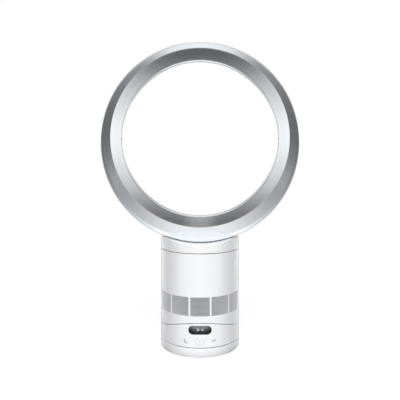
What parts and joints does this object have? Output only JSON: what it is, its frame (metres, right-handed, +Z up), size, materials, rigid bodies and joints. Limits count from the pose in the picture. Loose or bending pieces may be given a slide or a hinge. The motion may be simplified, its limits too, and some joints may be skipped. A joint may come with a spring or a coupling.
{
  "type": "bladeless desk fan",
  "caption": "Desk fan with an annular air nozzle on a cylindrical body that tilts and swings on a round foot.",
  "frame": {"origin": "centre of the underside, where the rubber ring rests on the table", "axes": "+Z up along the column, front (display and power button) towards -Y, +X to the right seen from the front"},
  "size_m": [0.3575, 0.1434, 0.552],
  "materials": {
    "white_shell": "white moulded plastic, polished",
    "silver_nozzle": "silver metallic lacquer on moulded plastic, glossy",
    "grille": "light grey perforated plastic",
    "smoked_window": "smoked black, polished",
    "grey_plastic": "grey moulded plastic, fine texture",
    "impeller_plastic": "dark glass-filled plastic",
    "gear_plastic": "natural acetal",
    "steel": "zinc-plated steel",
    "motor_steel": "plated motor steel",
    "board": "green solder mask",
    "foam": "open-cell silencing foam",
    "rubber": "soft dark rubber"
  },
  "bodies": {
    "foot": {"foot_shell": "white_shell", "base_cover": "grey_plastic", "rubber_ring": "rubber", "cover_screws": "steel", "cable_gland": "rubber", "swivel_gear": "gear_plastic", "slide_ring": "gear_plastic", "swivel_retainer": "steel", "retainer_screws": "steel"},
    "base": {"control_shell": "white_shell", "display_window": "smoked_window", "display_board": "board", "push_switch": "grey_plastic", "main_board": "board", "swivel_disc": "grey_plastic", "swivel_motor": "motor_steel", "motor_screws": "steel", "cradle_plate": "white_shell", "cradle_screws": "steel"},
    "pinion": {"drive_pinion": "gear_plastic"},
    "button": {"power_button": "white_shell"},
    "body": {"main_shell": "white_shell", "tilt_plate": "white_shell", "intake_grille": "grille", "lower_foam": "foam", "isolator_mounts": "rubber", "inlet_bell": "grey_plastic", "impeller_housing": "grey_plastic", "motor_bucket_lower": "grey_plastic", "motor_bucket_upper": "grey_plastic", "motor_foam": "foam", "motor_bearings": "steel", "motor_stator": "motor_steel", "diffuser": "grey_plastic", "bayonet_collar": "white_shell", "neck_seal": "rubber", "nozzle_neck": "white_shell", "nozzle_outer_casing": "silver_nozzle", "nozzle_inner_casing": "silver_nozzle", "slot_spacers": "grey_plastic"},
    "air_mover": {"impeller": "impeller_plastic", "motor_rotor": "motor_steel"}
  },
  "joints": [
    {"name": "oscillation", "type": "hinge", "parent": "foot", "child": "base", "pos_m": [0, 0, 0.0195], "axis": [0, 0, 1], "range_deg": [-45, 45]},
    {"name": "pinion_spin", "type": "hinge", "parent": "base", "child": "pinion", "pos_m": [0, 0.033, 0.0145], "axis": [0, 0, 1], "range_deg": [-120, 120]},
    {"name": "tilt", "type": "hinge", "parent": "base", "child": "body", "pos_m": [0, 0, 0.206], "axis": [1, 0, 0], "range_deg": [-10, 10]},
    {"name": "impeller_spin", "type": "hinge", "parent": "body", "child": "air_mover", "pos_m": [0, 0, 0.135], "axis": [0, 0, 1], "continuous": true},
    {"name": "power_press", "type": "slide", "parent": "base", "child": "button", "axis": [0, 1, 0], "range_m": [0, 0.0012], "stiffness_N_per_m": 1500}
  ],
  "couplings": [
    {"joint": "pinion_spin", "follows": "oscillation", "ratio": 2.6667}
  ]
}
